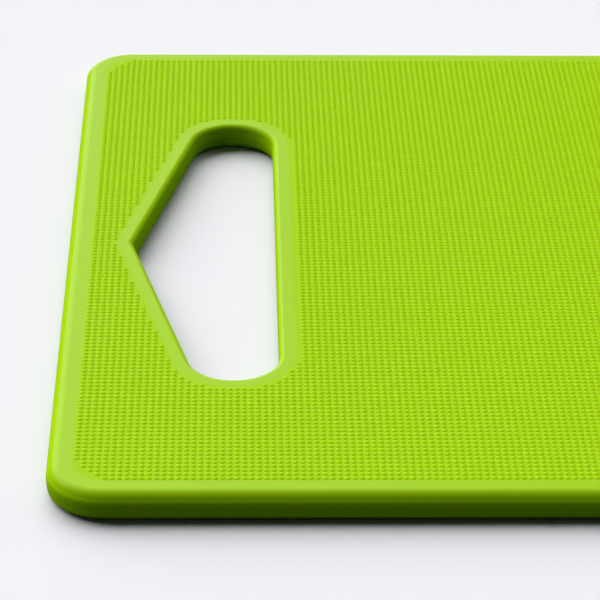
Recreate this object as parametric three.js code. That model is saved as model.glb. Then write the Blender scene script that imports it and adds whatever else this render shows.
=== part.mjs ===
// A plastic cutting board with a hand hole, in millimetres, +Z up, lying flat.
// It is two moulded halves, back to back, that meet at mid height. A tongue on the lower half seats in a
// groove in the upper half, round the outside and round the hand hole. The handle end is at -X.
import * as THREE from "three";

// Driving dimensions of the board
const boardLength = 450;
const boardWidth = 285;
const boardThickness = 9.2; // from bump tip to bump tip
const cornerRadius = 18;

// The edges
const boardWall = 0.2; // height of the outer wall below its rounding, which takes up the rest
const holeRounding = 2.2; // at the lip of the hand hole
const wallDraft = 4; // degrees that a wall leans in between the seam and the rounding
const seamChamfer = 0.08; // each half's share of the fine V at mid height
const boardRim = 7.2; // smooth band between the outer wall and the bumps
const holeRim = 5.2; // smooth band between the hand hole's wall and the bumps
const bumpHeight = 0.4; // the bumps' height, shown here as one low raised field

// The hand hole: a straight side, two round ends and a point towards the handle end
const holeEndRadius = 13.1;
const holeEndSpacing = 136.6; // between the centres of the round ends
const holeEndInset = 51.5; // from the handle end to those centres
const holeTipInset = 20.5; // from the handle end to the point
const holeTipRadius = 1.6;

// The joint between the halves
const tongueInset = 4.8; // from the wall to the tongue
const tongueWidth = 2.5;
const tongueHeight = 1.2;
const tongueClearance = 0.3;

// How finely arcs are divided
const cornerSteps = 6; // pairs of steps in each arc of an outline
const roundingSteps = 4; // pairs of steps in each rounding

// Sizes worked out from the driving dimensions
const halfThickness = boardThickness / 2;
const rimHeight = halfThickness - bumpHeight;
const boardRounding = rimHeight - boardWall;
const handleEnd = -boardLength / 2;
const draftAngle = THREE.MathUtils.degToRad(wallDraft);

// The board's outline, moved in from its wall by inset.
function boardOutline(inset) {
  const x = boardLength / 2 - cornerRadius;
  const y = boardWidth / 2 - cornerRadius;
  const radius = cornerRadius - inset;
  const quarter = Math.PI / 2;
  const outline = new THREE.Path();
  outline.absarc(x, -y, radius, -quarter, 0);
  outline.absarc(x, y, radius, 0, quarter);
  outline.absarc(-x, y, radius, quarter, 2 * quarter);
  outline.absarc(-x, -y, radius, 2 * quarter, 3 * quarter);
  return outline.getPoints(cornerSteps);
}

// The hand hole's outline, moved out from its wall by inset. It is a belt round three circles: the two round
// ends and the small circle at the point.
function holeOutline(inset) {
  const x = handleEnd + holeEndInset;
  const y = holeEndSpacing / 2;
  const tipX = handleEnd + holeTipInset + holeTipRadius;
  const slope = Math.atan2(y, x - tipX);
  const spread = Math.acos((holeTipRadius - holeEndRadius) / Math.hypot(x - tipX, y));
  const slant = slope + spread; // direction that the slanted side faces
  const outline = new THREE.Path();
  outline.absarc(x, -y, holeEndRadius + inset, -slant, 0);
  outline.absarc(x, y, holeEndRadius + inset, 0, slant);
  outline.absarc(tipX, 0, holeTipRadius + inset, slant, 2 * Math.PI - slant);
  return outline.getPoints(cornerSteps);
}

// The section of one half's edge, as points of inset from the wall and height from the seam, from the bumps
// over the rim, round the edge, down the wall and along the mating face past the joint. The rounding stops
// where it leans as much as the wall does, so that it runs into the wall without a corner.
function edgeSection(joint, rim, rounding) {
  const arcHeight = rimHeight - rounding;
  const wallTop = arcHeight + rounding * Math.sin(draftAngle);
  const lean = (wallTop - seamChamfer) * Math.tan(draftAngle);
  const arcInset = lean + rounding * Math.cos(draftAngle);
  const arc = new THREE.Path().absarc(arcInset, arcHeight, rounding, Math.PI / 2, Math.PI - draftAngle);
  return [
    new THREE.Vector2(rim + bumpHeight, halfThickness),
    new THREE.Vector2(rim, rimHeight),
    ...arc.getPoints(roundingSteps),
    new THREE.Vector2(0, seamChamfer),
    new THREE.Vector2(seamChamfer, 0),
    ...joint,
  ];
}

// The joint's part of a section: a band of the mating face, raised or sunk to the given height.
function jointSection(from, to, height) {
  return [
    new THREE.Vector2(from, 0),
    new THREE.Vector2(from, height),
    new THREE.Vector2(to, height),
    new THREE.Vector2(to, 0),
  ];
}

// Carries a section along an outline, one ring of points for each point of the section.
function ringsAlong(outlineAt, section) {
  return section.map(({ x: inset, y: height }) =>
    outlineAt(inset).map((point) => new THREE.Vector3(point.x, point.y, height)),
  );
}

// Two triangles for each four-sided patch between neighbouring rings. The first ring starts at vertex first.
function patchesBetween(rings, first, facesOut) {
  const count = rings[0].length;
  const triangles = [];
  for (let ring = 0; ring + 1 < rings.length; ring += 1) {
    for (let step = 0; step < count; step += 1) {
      const a = first + ring * count + step;
      const b = first + ring * count + ((step + 1) % count);
      const [p, q, r, s] = facesOut ? [a, a + count, b + count, b] : [a, b, b + count, a + count];
      triangles.push(p, q, r, p, r, s);
    }
  }
  return triangles;
}

// A flat face between an outer ring and a hole ring, given with the vertices that they start at.
function faceBetween(outer, outerFirst, hole, holeFirst, facesUp) {
  const flat = (ring) => ring.map((point) => new THREE.Vector2(point.x, point.y));
  const vertexOf = (i) => (i < outer.length ? outerFirst + i : holeFirst + i - outer.length);
  const corners = THREE.ShapeUtils.triangulateShape(flat(outer), [flat(hole)]);
  return corners.flatMap(([a, b, c]) => (facesUp ? [a, b, c] : [a, c, b]).map(vertexOf));
}

// One half of the board as a closed solid, with its mating face at height 0 and its bumps up.
function halfBoard(joint) {
  const board = ringsAlong(boardOutline, edgeSection(joint, boardRim, boardRounding));
  const hole = ringsAlong(holeOutline, edgeSection(joint, holeRim, holeRounding));
  const last = board.length - 1;
  const boardCount = board[0].length;
  const holeCount = hole[0].length;
  const holeStart = board.length * boardCount;
  const points = board.flat().concat(hole.flat());
  const triangles = [
    ...patchesBetween(board, 0, true),
    ...patchesBetween(hole, holeStart, false),
    ...faceBetween(board[0], 0, hole[0], holeStart, true),
    ...faceBetween(board[last], last * boardCount, hole[last], holeStart + last * holeCount, false),
  ];
  const geometry = new THREE.BufferGeometry().setFromPoints(points);
  geometry.setIndex(triangles);
  geometry.computeVertexNormals();
  return geometry;
}

// One half as a named mesh of lime-green polypropylene.
function moulding(name, geometry) {
  const material = new THREE.MeshStandardMaterial({ color: 0x9fd01c, roughness: 0.42, metalness: 0 });
  const mesh = new THREE.Mesh(geometry, material);
  mesh.name = name;
  return mesh;
}

// The lower half is turned over, so that its mating face looks up at the upper half's.
const tongue = jointSection(tongueInset, tongueInset + tongueWidth, -tongueHeight);
const groove = jointSection(
  tongueInset - tongueClearance,
  tongueInset + tongueWidth + tongueClearance,
  tongueHeight + tongueClearance,
);
const upperHalf = moulding("upper_half", halfBoard(groove));
const lowerHalf = moulding("lower_half", halfBoard(tongue));
upperHalf.position.z = halfThickness;
lowerHalf.position.z = halfThickness;
lowerHalf.rotation.x = Math.PI;

const cuttingBoard = new THREE.Group();
cuttingBoard.add(upperHalf, lowerHalf);

export default cuttingBoard;
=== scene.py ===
# %% [markdown]
# A plastic cutting board, dressed for its picture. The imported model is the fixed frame: two moulded halves
# that meet at mid height, with a hand hole at the handle end, at -X. Everything is in metres, +Z up, and
# the board lies on z = 0. This lesson makes the smooth halves and the thousands of small bumps on their
# faces as numpy arrays, then a lime-green plastic, a pale floor and soft light.

import math

import bpy
import numpy as np
from mathutils import Matrix, Vector


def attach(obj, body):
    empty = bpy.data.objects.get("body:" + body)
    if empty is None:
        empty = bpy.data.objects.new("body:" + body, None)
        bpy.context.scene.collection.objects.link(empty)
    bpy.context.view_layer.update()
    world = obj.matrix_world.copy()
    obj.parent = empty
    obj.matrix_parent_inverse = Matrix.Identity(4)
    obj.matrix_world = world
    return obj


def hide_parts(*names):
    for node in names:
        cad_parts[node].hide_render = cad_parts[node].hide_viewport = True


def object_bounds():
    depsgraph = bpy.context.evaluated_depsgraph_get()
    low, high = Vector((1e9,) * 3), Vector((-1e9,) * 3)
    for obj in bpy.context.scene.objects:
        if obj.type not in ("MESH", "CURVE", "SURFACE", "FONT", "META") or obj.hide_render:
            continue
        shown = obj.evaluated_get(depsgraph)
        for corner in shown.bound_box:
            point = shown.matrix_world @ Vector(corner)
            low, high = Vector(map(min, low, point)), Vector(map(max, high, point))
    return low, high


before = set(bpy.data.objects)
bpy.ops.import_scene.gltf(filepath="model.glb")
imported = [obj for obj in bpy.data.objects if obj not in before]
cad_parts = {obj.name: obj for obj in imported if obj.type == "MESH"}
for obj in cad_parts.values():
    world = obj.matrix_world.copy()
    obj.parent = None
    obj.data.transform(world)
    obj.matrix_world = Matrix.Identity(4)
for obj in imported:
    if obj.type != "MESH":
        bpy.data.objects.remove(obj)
cad_low, cad_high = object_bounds()
board_length, board_width, board_thickness = np.array(cad_high) - np.array(cad_low)
print("board", board_length, board_width, board_thickness)

# %% [markdown]
# The camera comes first, because every later comparison depends on it. The bumps stand on a square grid, so
# their rows and columns in the picture give the view by themselves: a long lens, about 30 degrees above the
# board, turned a little to the right and tilted by about one degree.

# %% Camera
MM = 0.001
IMAGE_PIXELS = 600
FOCAL_PIXELS = 2758.0
SENSOR_WIDTH = 36.0
CAMERA_PLACE = (-175.1 * MM, -759.4 * MM, 423.2 * MM)
LOOK_DOWN = math.radians(29.82)
LOOK_RIGHT = math.radians(1.72)
TILT = math.radians(0.89)


def photo_camera():
    """A camera that is tilted about its own axis, then raised from looking straight down, then turned."""
    data = bpy.data.cameras.new("camera")
    data.sensor_width = SENSOR_WIDTH
    data.lens = FOCAL_PIXELS * SENSOR_WIDTH / IMAGE_PIXELS
    camera = bpy.data.objects.new("camera", data)
    bpy.context.collection.objects.link(camera)
    turn = Matrix.Rotation(-LOOK_RIGHT, 4, "Z")
    raised = Matrix.Rotation(math.pi / 2 - LOOK_DOWN, 4, "X")
    tilted = Matrix.Rotation(TILT, 4, "Z")
    camera.matrix_world = Matrix.Translation(CAMERA_PLACE) @ turn @ raised @ tilted
    bpy.context.scene.camera = camera
    return camera


camera = photo_camera()
print("lens", round(camera.data.lens, 1), "mm")

# %% [markdown]
# Both edges of the board, the outside and the hand hole, are belts: an arc on each of a few circles, with
# straight runs between them. The outside is a belt round four equal circles, and the hand hole a belt round
# three: its two round ends and a small one at its point. One function makes both, and growing or shrinking
# the circles moves the whole outline in or out. The points of both outlines are then taken where the same
# rays leave the middle of the hand hole, so that they pair up.

# %% Outlines
CORNER_RADIUS = 16 * MM
HOLE_END_RADIUS = 13.25 * MM
HOLE_END_SPACING = 137.1 * MM
HOLE_END_INSET = 51.5 * MM
HOLE_TIP_INSET = 20.35 * MM
HOLE_TIP_RADIUS = 1.6 * MM

corner_x = board_length / 2 - CORNER_RADIUS
corner_y = board_width / 2 - CORNER_RADIUS
board_centres = np.array([(1, -1), (1, 1), (-1, 1), (-1, -1)]) * (corner_x, corner_y)
board_radii = np.full(len(board_centres), CORNER_RADIUS)

hole_x = HOLE_END_INSET - board_length / 2
hole_y = HOLE_END_SPACING / 2
tip_x = HOLE_TIP_INSET + HOLE_TIP_RADIUS - board_length / 2
hole_centres = np.array([(hole_x, -hole_y), (hole_x, hole_y), (tip_x, 0)])
hole_radii = np.array([HOLE_END_RADIUS, HOLE_END_RADIUS, HOLE_TIP_RADIUS])


def belt(centres, radii, arc_steps, run_step):
    """Points and outward normals of a belt round circles in counter-clockwise order. The straight run that
    leaves a circle faces away from it by the angle whose cosine is the fall in radius over the distance."""
    ahead = np.roll(centres, -1, axis=0) - centres
    distance = np.hypot(*ahead.T)
    fall = (radii - np.roll(radii, -1)) / distance
    facing = np.unwrap(np.arctan2(ahead[:, 1], ahead[:, 0])) - np.arccos(fall)
    points, normals = [], []
    for i, (centre, radius) in enumerate(zip(centres, radii)):
        start = facing[i - 1] if i else facing[-1] - 2 * math.pi
        angle = np.linspace(start, facing[i], arc_steps + 1)
        around = np.stack([np.cos(angle), np.sin(angle)], axis=1)
        arc = centre + radius * around
        following = (i + 1) % len(centres)
        run_end = centres[following] + radii[following] * around[-1]
        run_steps = max(int(np.hypot(*(run_end - arc[-1])) / run_step), 1)
        along = np.linspace(0, 1, run_steps + 1)[1:-1, None]
        points += [arc, arc[-1] + (run_end - arc[-1]) * along]
        normals += [around, np.repeat(around[-1:], len(along), axis=0)]
    return np.concatenate(points), np.concatenate(normals)


def angles_about(points, middle):
    """Direction of each point from the middle, between 0 and a full turn."""
    return np.arctan2(*(points - middle).T[::-1]) % (2 * math.pi)


ARC_STEPS, RUN_STEP = 28, 12 * MM
FINE_ARC_STEPS, FINE_RUN_STEP = 600, 0.25 * MM
middle = np.array([(hole_x + tip_x) / 2, 0])
outline_angles = np.concatenate([
    angles_about(belt(board_centres, board_radii, ARC_STEPS, RUN_STEP)[0], middle),
    angles_about(belt(hole_centres, hole_radii, ARC_STEPS, RUN_STEP)[0], middle),
])
SAME_ANGLE_DIGITS = 4
angles = np.unique(np.round(outline_angles, SAME_ANGLE_DIGITS))


def seen_from_middle(centres, radii):
    """A belt's points and normals where rays at the shared angles leave the middle of the hand hole."""
    points, normals = belt(centres, radii, FINE_ARC_STEPS, FINE_RUN_STEP)
    known = angles_about(points, middle)
    columns = np.concatenate([points, normals], axis=1).T
    found = np.stack([np.interp(angles, known, c, period=2 * math.pi) for c in columns], axis=1)
    return found[:, :2], found[:, 2:] / np.linalg.norm(found[:, 2:], axis=1, keepdims=True)


board_edge, board_normal = seen_from_middle(board_centres, board_radii)
hole_edge, hole_normal = seen_from_middle(hole_centres, hole_radii)
print("outline points", len(angles))

# %% [markdown]
# A plate with one hole is a ring, so each half is one closed sheet: a section that climbs the wall of the
# hole, crosses the face, goes down the outer wall and returns along the mating face, carried once round the
# hole. A modeller could round the edges of a solid plate instead, but a section puts every bend where it is
# wanted. An edge is a small chamfer at the seam, a wall that leans in, and a rounded lip. The outer edge of
# the work face has more to it: its lip stops at a shallow crease, below which the wall swells out again.
# The tongue and the groove that join the halves are in the sections too.

# %% The section of a half
LIP_RADIUS = 3.4 * MM
LIP_TURN = math.radians(62)
CREASE_INSET = 0.75 * MM
WALL_POWER = 3.4
HOLE_LIP, HOLE_FOOT, BOARD_FOOT = 1.7 * MM, 2.2 * MM, 2 * MM
WALL_DRAFT = math.radians(4)
SEAM_CHAMFER = 0.08 * MM
BOARD_RIM, HOLE_RIM = 3.6 * MM, 3.2 * MM
BUMP_HEIGHT = 0.4 * MM
TONGUE_INSET, TONGUE_WIDTH, TONGUE_HEIGHT = 4.8 * MM, 2.5 * MM, 1.2 * MM
TONGUE_CLEARANCE = 0.3 * MM
ROUNDING_STEPS, WALL_STEPS = 16, 8
NEAR_EDGE = 0.2 * MM
WALL_SHARES = np.array([0, 0.08, 0.92])

seam_height = board_thickness / 2
rim_height = seam_height - BUMP_HEIGHT


def joint_section(clearance, height):
    """The joint's four corners, from inside out: a band of the mating face raised or sunk to a height."""
    low, high = TONGUE_INSET - clearance, TONGUE_INSET + TONGUE_WIDTH + clearance
    return np.array([(high, 0), (high, height), (low, height), (low, 0)])


def edge_section(joint, radius, rim_width):
    """Insets from the wall and heights from the seam: the joint, the seam's chamfer, the wall, which leans
    in by the draft, then an arc up to the rim. Rows close to each bend keep the flats beside it flat."""
    turn = np.linspace(math.pi - WALL_DRAFT, math.pi / 2, ROUNDING_STEPS + 1)
    arc = radius * np.stack([np.cos(turn), np.sin(turn)], axis=1)
    arc_height = rim_height - radius
    lean = (arc_height + arc[0, 1] - SEAM_CHAMFER) * math.tan(WALL_DRAFT)
    bend = arc + np.array([lean - arc[0, 0], arc_height])
    foot, head = np.array([0, SEAM_CHAMFER]), bend[0]
    wall = foot + (head - foot) * WALL_SHARES[:, None]
    rim = bend[-1] + np.array([(NEAR_EDGE, 0), (rim_width, 0)])
    return np.concatenate([joint, [(SEAM_CHAMFER, 0)], wall, bend, rim])


def creased_section(joint, rim_width):
    """The same for the outer edge of the work face. Its lip is an arc that turns from the rim by the lip's
    turn and stops at a crease. Below that the wall leans in with a power of its height."""
    turn = np.linspace(LIP_TURN, 0, ROUNDING_STEPS + 1)
    arc = LIP_RADIUS * np.stack([-np.sin(turn), np.cos(turn)], axis=1)
    crease_height = rim_height - LIP_RADIUS + arc[0, 1]
    lip = arc + np.array([CREASE_INSET - arc[0, 0], rim_height - LIP_RADIUS])
    share = np.linspace(SEAM_CHAMFER / crease_height, 1, WALL_STEPS + 1)[:-1]
    wall = np.stack([CREASE_INSET * share**WALL_POWER, crease_height * share], axis=1)
    rim = lip[-1] + np.array([(NEAR_EDGE, 0), (rim_width, 0)])
    return np.concatenate([joint, [(SEAM_CHAMFER, 0)], wall, lip, rim])


groove = joint_section(TONGUE_CLEARANCE, TONGUE_HEIGHT + TONGUE_CLEARANCE)
tongue = joint_section(0, -TONGUE_HEIGHT)
upper_sections = edge_section(groove, HOLE_LIP, HOLE_RIM), creased_section(groove, BOARD_RIM)
lower_sections = edge_section(tongue, HOLE_FOOT, HOLE_RIM), edge_section(tongue, BOARD_FOOT, BOARD_RIM)
print("section points", [len(section) for section in upper_sections + lower_sections])

# %% [markdown]
# A mesh could be made from lists of points, one at a time. Whole arrays are quicker by far, which counts
# for tens of thousands of bumps, so one function takes them.


# %% Putting arrays into Blender
def object_from(name, vertices, faces, uv=None):
    """A smooth mesh object from an array of points and an array of faces with equal numbers of corners."""
    corners = faces.shape[1]
    mesh = bpy.data.meshes.new(name)
    mesh.vertices.add(len(vertices))
    mesh.vertices.foreach_set("co", np.ascontiguousarray(vertices, np.float32).ravel())
    mesh.loops.add(faces.size)
    mesh.loops.foreach_set("vertex_index", np.ascontiguousarray(faces, np.int32).ravel())
    mesh.polygons.add(len(faces))
    mesh.polygons.foreach_set("loop_start", np.arange(0, faces.size, corners, dtype=np.int32))
    mesh.update(calc_edges=True)
    mesh.validate()
    mesh.shade_smooth()
    if uv is not None:
        layer = mesh.uv_layers.new(name="OFBake")
        layer.uv.foreach_set("vector", np.ascontiguousarray(uv[faces.ravel()], np.float32).ravel())
    made = bpy.data.objects.new(name, mesh)
    bpy.context.collection.objects.link(made)
    return made


# %% [markdown]
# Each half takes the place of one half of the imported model. The rim and the walls are one plastic, and the
# face between the bumps is a duller one, because the mould is rougher there.

# %% The two halves
FACE_STEPS = 5
FACE_SHARES = np.linspace(0, 1, FACE_STEPS + 1)[1:-1]
SHARP_ANGLE = math.radians(30)


def half_shell(name, sections, side):
    """The sections carried round the hand hole: from the hole's edge to the board's edge and back under.
    Side is 1 for the half above the seam and -1 for the one below it. The face between the rims gets
    material number 1, and all the rest number 0."""
    hole_section, board_section = sections
    hole_side = hole_edge[:, None] + hole_section[:, :1] * hole_normal[:, None]
    board_side = board_edge[:, None] - board_section[:, :1] * board_normal[:, None]
    reach = board_side[:, -1:] - hole_side[:, -1:]
    face = hole_side[:, -1:] + reach * FACE_SHARES[:, None]
    flat = np.concatenate([hole_side, face, board_side[:, ::-1]], axis=1)
    face_rise = np.full(len(FACE_SHARES), rim_height)
    rise = np.concatenate([hole_section[:, 1], face_rise, board_section[::-1, 1]])
    rings, steps = flat.shape[:2]
    z = np.broadcast_to(seam_height + side * rise, (rings, steps))
    vertices = np.concatenate([flat, z[..., None]], axis=2).reshape(-1, 3)
    index = np.arange(rings * steps).reshape(rings, steps)
    along, across = np.roll(index, -1, axis=0), np.roll(index, -1, axis=1)
    both = np.roll(along, -1, axis=1)
    faces = np.stack([index, across, both, along][::side], axis=-1).reshape(-1, 4)
    shell = object_from(name, vertices, faces)
    from_rim = np.arange(steps) - (len(hole_section) - 1)
    in_field = (from_rim >= 0) & (from_rim <= len(FACE_SHARES))
    shell.data.polygons.foreach_set("material_index", np.tile(in_field, rings).astype(np.int32))
    shell.data.set_sharp_from_angle(angle=SHARP_ANGLE)
    return shell


shells = [
    half_shell("upper_shell", upper_sections, 1),
    half_shell("lower_shell", lower_sections, -1),
]
for shell, node in zip(shells, ("upper_half", "lower_half")):
    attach(shell, "root")
    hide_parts(node)
    print(shell.name, len(shell.data.polygons), "faces")

# %% [markdown]
# The bumps are what keeps food from sliding. They are low round domes on a square grid, and the mould has
# only whole ones, so the edge of the field is stepped where it follows a curve. Each dome has few faces,
# because there are tens of thousands of them, and the field is cut into strips to keep each mesh light.

# %% The grid of bumps
BUMP_PITCH = 2 * MM
BUMP_RADIUS = 0.9 * MM
BOARD_FIELD_INSET, HOLE_FIELD_INSET = 8 * MM, 6.05 * MM
FIELD_CORNER = 11.6 * MM
FIRST_COLUMN, FIRST_ROW = 0.665, 0.0


def grid_line(half_span, start):
    """Places along one axis: a start, in pitches from the middle, and whole pitches either way from it."""
    count = int(half_span / BUMP_PITCH) + 1
    return (np.arange(-count, count + 1) + start) * BUMP_PITCH


def inside(outline, points):
    """True where a point lies left of every side of a convex outline that runs counter-clockwise."""
    sides = np.roll(outline, -1, axis=0) - outline
    away = points[:, None] - outline
    return (sides[:, 0] * away[..., 1] - sides[:, 1] * away[..., 0] >= 0).all(axis=1)


field_reach = np.array([board_length, board_width]) / 2 - BOARD_FIELD_INSET - FIELD_CORNER
field_centres = np.sign(board_centres) * field_reach
field_radii = np.full(len(field_centres), FIELD_CORNER)
field_outline = belt(field_centres, field_radii, ARC_STEPS, board_length)[0]
clear_outline = belt(hole_centres, hole_radii + HOLE_FIELD_INSET, ARC_STEPS, board_length)[0]
columns, rows = grid_line(board_length / 2, FIRST_COLUMN), grid_line(board_width / 2, FIRST_ROW)
grid = np.stack(np.meshgrid(columns, rows, indexing="ij"), axis=-1).reshape(-1, 2)
places = grid[inside(field_outline, grid) & ~inside(clear_outline, grid)]
print("bumps on each face", len(places))

# %% Domes in strips
BUMP_SIDES = 8
BUMP_RINGS = ((1.0, -0.02), (0.7, 0.6))
STRIPS = 4


def dome():
    """One bump round the origin: rings of radius and height shares, then a top. Its foot is just under the
    face, so that no gap shows."""
    turn = 2 * math.pi * (np.arange(BUMP_SIDES) + 0.5) / BUMP_SIDES
    circle = np.stack([np.cos(turn), np.sin(turn)], axis=1) * BUMP_RADIUS
    rings = [np.column_stack([circle * r, np.full(BUMP_SIDES, h * BUMP_HEIGHT)]) for r, h in BUMP_RINGS]
    points = np.concatenate(rings + [[(0, 0, BUMP_HEIGHT)]])
    low = np.arange(BUMP_SIDES)
    after = (low + 1) % BUMP_SIDES
    high, top = low + BUMP_SIDES, np.full(BUMP_SIDES, len(points) - 1)
    triangles = np.concatenate([
        np.column_stack([low, after, after + BUMP_SIDES]),
        np.column_stack([low, after + BUMP_SIDES, high]),
        np.column_stack([high, after + BUMP_SIDES, top]),
    ])
    return points, triangles


def bump_strip(name, places, side):
    """Copies of the dome at many places, on the rim level of the upper or the lower face."""
    points, triangles = dome()
    points = points * (1, 1, side)
    level = np.array([0, 0, seam_height + side * rim_height])
    bases = np.column_stack([places, np.zeros(len(places))]) + level
    vertices = (bases[:, None] + points).reshape(-1, 3)
    first = np.arange(len(places)) * len(points)
    faces = (first[:, None, None] + triangles[:, ::side]).reshape(-1, 3)
    low, high = vertices[:, :2].min(axis=0), vertices[:, :2].max(axis=0)
    return object_from(name, vertices, faces, (vertices[:, :2] - low) / (high - low))


bump_pieces = []
for face, node, side in (("upper", "upper_half", 1), ("lower", "lower_half", -1)):
    for number, strip in enumerate(np.array_split(places, STRIPS), start=1):
        piece = bump_strip(f"{face}_bumps_{number}", strip, side)
        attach(piece, "root")
        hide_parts(node)
        bump_pieces.append(piece)
print("bump triangles in a strip", len(bump_pieces[0].data.polygons))

# %% [markdown]
# Shader sums are easier to read as Python sums. This small class holds one socket of a node tree: an
# operator adds a Math node, and node() adds any other node, setting its options first and then its inputs.


# %% Sums of sockets
class Shade:
    """One socket of a node tree, which can be added to, taken from and multiplied."""

    def __init__(self, tree, socket=None):
        self.tree = tree
        self.socket = socket

    def node(self, kind, inputs=None, output=0, **settings):
        """A new node's output. Inputs are values or other sockets, by name or number."""
        made = self.tree.nodes.new(kind)
        for name, value in settings.items():
            setattr(made, name, value)
        for name, value in (inputs or {}).items():
            if isinstance(value, Shade):
                self.tree.links.new(value.socket, made.inputs[name])
            else:
                made.inputs[name].default_value = value
        return Shade(self.tree, made.outputs[output] if made.outputs else None)

    def math(self, operation, first, second):
        return self.node("ShaderNodeMath", {0: first, 1: second}, operation=operation)

    def blend(self, factor, first, second):
        """A mix of two colours, by the numbers that a Mix node gives its colour sockets."""
        return self.node("ShaderNodeMix", {0: factor, 6: first, 7: second}, output=2, data_type="RGBA")

    def noise(self, place, scale, detail):
        return self.node("ShaderNodeTexNoise", {"Vector": place, "Scale": scale, "Detail": detail})

    def __add__(self, other):
        return self.math("ADD", self, other)

    def __sub__(self, other):
        return self.math("SUBTRACT", self, other)

    def __mul__(self, other):
        return self.math("MULTIPLY", self, other)

    __radd__ = __add__
    __rmul__ = __mul__


def blank_material(name):
    """A new material with an empty node tree, and a Shade to build in it."""
    material = bpy.data.materials.new(name)
    material.use_nodes = True
    material.node_tree.nodes.clear()
    return material, Shade(material.node_tree)


# %% [markdown]
# Lime-green polypropylene: a saturated colour under a satin sheen. The colour drifts very slightly over the
# board, as pigment does in a moulding, the sheen drifts a little too, and a grain too fine to see by itself
# breaks up reflections. The rim shines most and the face between the bumps least, and steep faces are matt.
# The bumps are so small that light spreads inside them. A scattering shader could do that, but it would
# make the thin edges glow too, so instead the bumps' colour sees gentler slopes than their shape has. Their
# colour is also brighter than the rim's: painted light, which makes up for the shade that the domes cast on
# each other and stands for light that the plastic gathers inside them.

# %% Plastic
LIME = (0.352, 0.595, 0.004, 1)
LIME_DEEP = (0.337, 0.576, 0.003, 1)
PIGMENT_SCALE, GLOSS_SCALE, GRAIN_SCALE = 14, 45, 2600
PIGMENT_DETAIL, GLOSS_DETAIL, GRAIN_DETAIL = 3, 4, 2
NOISE_MIDDLE = 0.5
GRAIN_DEPTH = 0.006 * MM
RIM_SHEEN, FIELD_SHEEN, BUMP_SHEEN = 0.78, 0.3, 0.38
SHEEN_DRIFT = 0.2
SHEEN_ROUGHNESS, SHEEN_IOR = 0.25, 1.49
RIM_SATIN, FIELD_SATIN = (0.72, 0.92), (0.8, 0.98)
# The bumps' gain brightens their colour: painted light, against the shade the domes cast on each other.
BUMP_SLOPE, BUMP_PAINTED_LIGHT_GAIN = 0.54, 1.09


def lime_plastic(name, slope, painted_light_gain, sheen, satin):
    """Lime green, times the gain, under a clear sheen; a gain above 1 is painted light. The colour sees the
    surface's slopes multiplied by slope. The sheen sees them as they are: it fades out as the upright part
    of the normal falls through satin."""
    material, shade = blank_material(name)
    place = shade.node("ShaderNodeTexCoord", output="Object")
    pigment = shade.noise(place, PIGMENT_SCALE, PIGMENT_DETAIL)
    gloss = shade.noise(place, GLOSS_SCALE, GLOSS_DETAIL)
    grain = shade.noise(place, GRAIN_SCALE, GRAIN_DETAIL)
    # Both pigment tones times the gain, which paints light onto the bumps.
    light, deep = ([painted_light_gain * value for value in tone] for tone in (LIME, LIME_DEEP))
    colour = shade.blend(pigment, light, deep)
    facing = shade.node("ShaderNodeNewGeometry", output="Normal")
    upright = shade.node("ShaderNodeSeparateXYZ", {0: facing}, output="Z")
    level = shade.node("ShaderNodeMapRange", {
        "Value": upright * upright,
        "From Min": satin[0]**2,
        "From Max": satin[1]**2,
    })
    gentler = shade.node(
        "ShaderNodeVectorMath", {0: facing, 1: (slope, slope, 1)}, operation="MULTIPLY")
    unit = shade.node("ShaderNodeVectorMath", {0: gentler}, operation="NORMALIZE")
    bump = shade.node(
        "ShaderNodeBump", {"Height": grain, "Distance": GRAIN_DEPTH, "Strength": 1, "Normal": unit})
    surface = shade.node("ShaderNodeBsdfPrincipled", {
        "Base Color": colour,
        "Roughness": 1,
        "Specular IOR Level": 0,
        "Normal": bump,
        "Coat Weight": sheen * level * (1 + SHEEN_DRIFT * (gloss - NOISE_MIDDLE)),
        "Coat Roughness": SHEEN_ROUGHNESS,
        "Coat IOR": SHEEN_IOR,
    })
    shade.node("ShaderNodeOutputMaterial", {"Surface": surface})
    return material


rim_plastic = lime_plastic("lime_plastic", 1, 1, RIM_SHEEN, RIM_SATIN)
field_plastic = lime_plastic("lime_plastic_field", 1, 1, FIELD_SHEEN, FIELD_SATIN)
bump_plastic = lime_plastic("lime_plastic_bumps", BUMP_SLOPE, BUMP_PAINTED_LIGHT_GAIN, BUMP_SHEEN, FIELD_SATIN)
for piece in shells:
    piece.data.materials.append(rim_plastic)
    piece.data.materials.append(field_plastic)
for piece in bump_pieces:
    piece.data.materials.append(bump_plastic)
print("plastic on", len(shells + bump_pieces), "pieces")

# %% [markdown]
# The stage is a plain pale floor. It looks pale to the camera and in reflections, but it sends little light
# back up, so that the board's lower edge stays dark.

# %% Floor
FLOOR_SIZE = 8.0
FLOOR_COLOUR = (0.85, 0.845, 0.888, 1)
FLOOR_BOUNCE = (0.045, 0.055, 0.045, 1)


def camera_ray(shade):
    """1 for a ray straight from the camera, and 0 for any other."""
    return shade.node("ShaderNodeLightPath", output="Is Camera Ray")


def mirrored_ray(shade):
    """1 for a ray that comes by way of a reflection or a clear body, and 0 for any other."""
    outputs = ("Is Glossy Ray", "Is Transmission Ray")
    glossy_ray, through_ray = (shade.node("ShaderNodeLightPath", output=name) for name in outputs)
    return glossy_ray + through_ray


def pale_floor():
    """A flat floor that is pale to the camera and sends less light back up to the board."""
    corners = np.array([(-1, -1, 0), (1, -1, 0), (1, 1, 0), (-1, 1, 0)]) * FLOOR_SIZE / 2
    floor = object_from("floor", corners, np.array([[0, 1, 2, 3]]))
    material, shade = blank_material("floor")
    seen = camera_ray(shade) + mirrored_ray(shade)
    colour = shade.blend(seen, FLOOR_BOUNCE, FLOOR_COLOUR)
    surface = shade.node("ShaderNodeBsdfDiffuse", {"Color": colour})
    shade.node("ShaderNodeOutputMaterial", {"Surface": surface})
    floor.data.materials.append(material)


pale_floor()
print("floor", FLOOR_SIZE, "m wide")

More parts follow.
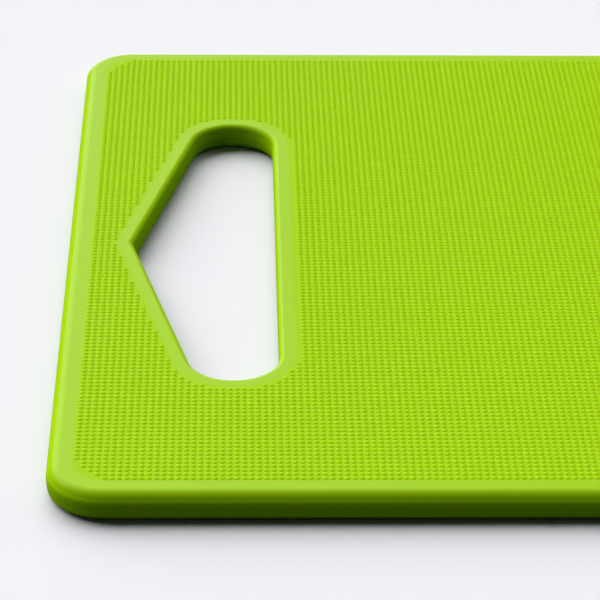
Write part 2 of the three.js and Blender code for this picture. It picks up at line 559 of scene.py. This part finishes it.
# %% [markdown]
# One large soft lamp stands behind the board on the left, so that the side towards the camera lies in
# shade. A weak one behind on the right opens the shadows. Two weak green ones, on the left and low on the
# right, light the board alone: they stand for the light that the plastic passes on inside itself. The world
# fills in a little, is plain and pale to the camera, and is a soft glow to reflections.

# %% Light
# Each lamp's degrees left of straight behind, degrees up, degrees of sky that it covers, and strength.
MAIN_LAMP = (31, 36, 80, 5.0)
SIDE_LAMP = (-55, 40, 50, 0.5)
FRONT_LAMP = (115, 28, 60, 0.55)
LOW_LAMP = (-95, 7, 30, 0.4)
INNER_COLOUR = (0.75, 1, 0.5)
GLOW_DIRECTION = Vector((-0.6, 0.75, 0.2)).normalized()
WORLD_FILL, WORLD_SEEN = 0.02, 1.0
GLOW_DIM, GLOW_BRIGHT = 0.0, 1.1
GLOW_START, GLOW_FULL = 0.66, 0.86
WORLD_COLOUR = (0.97, 0.98, 1.0, 1)


def soft_lamp(name, left, up, spread, strength):
    """A distant lamp, turned left from straight behind and raised, that covers an angle of the sky: all
    three in degrees. Reflections don't show it."""
    data = bpy.data.lights.new(name, "SUN")
    data.angle = math.radians(spread)
    data.energy = strength
    lamp = bpy.data.objects.new(name, data)
    lamp.rotation_euler = (math.radians(up - 90), 0, math.radians(left))
    lamp.visible_glossy = False
    bpy.context.collection.objects.link(lamp)
    return lamp


def pale_world():
    """A dim fill for diffuse light, plain and pale to the camera. Reflections see a glow round one
    direction, which comes from the cosine of the angle to it."""
    world = bpy.data.worlds.new("world")
    bpy.context.scene.world = world
    world.use_nodes = True
    world.node_tree.nodes.clear()
    shade = Shade(world.node_tree)
    direction = shade.node("ShaderNodeTexCoord", output="Generated")
    towards_lamp = shade.node(
        "ShaderNodeVectorMath", {0: direction, 1: GLOW_DIRECTION}, output="Value", operation="DOT_PRODUCT")
    glow = shade.node("ShaderNodeMapRange", {
        "Value": towards_lamp,
        "From Min": GLOW_START,
        "From Max": GLOW_FULL,
        "To Min": GLOW_DIM,
        "To Max": GLOW_BRIGHT,
    })
    fill = WORLD_FILL + (WORLD_SEEN - WORLD_FILL) * camera_ray(shade)
    strength = fill + (glow - WORLD_FILL) * mirrored_ray(shade)
    background = shade.node("ShaderNodeBackground", {"Color": WORLD_COLOUR, "Strength": strength})
    shade.node("ShaderNodeOutputWorld", {"Surface": background})


soft_lamp("main_lamp", *MAIN_LAMP)
soft_lamp("side_lamp", *SIDE_LAMP)
board_pieces = bpy.data.collections.new("board_pieces")
for piece in shells + bump_pieces:
    board_pieces.objects.link(piece)
for lamp in (soft_lamp("front_lamp", *FRONT_LAMP), soft_lamp("low_lamp", *LOW_LAMP)):
    lamp.light_linking.receiver_collection = board_pieces
    lamp.data.color = INNER_COLOUR
pale_world()
bpy.context.scene.view_settings.view_transform = "Standard"
print("lamps", len(bpy.data.lights))
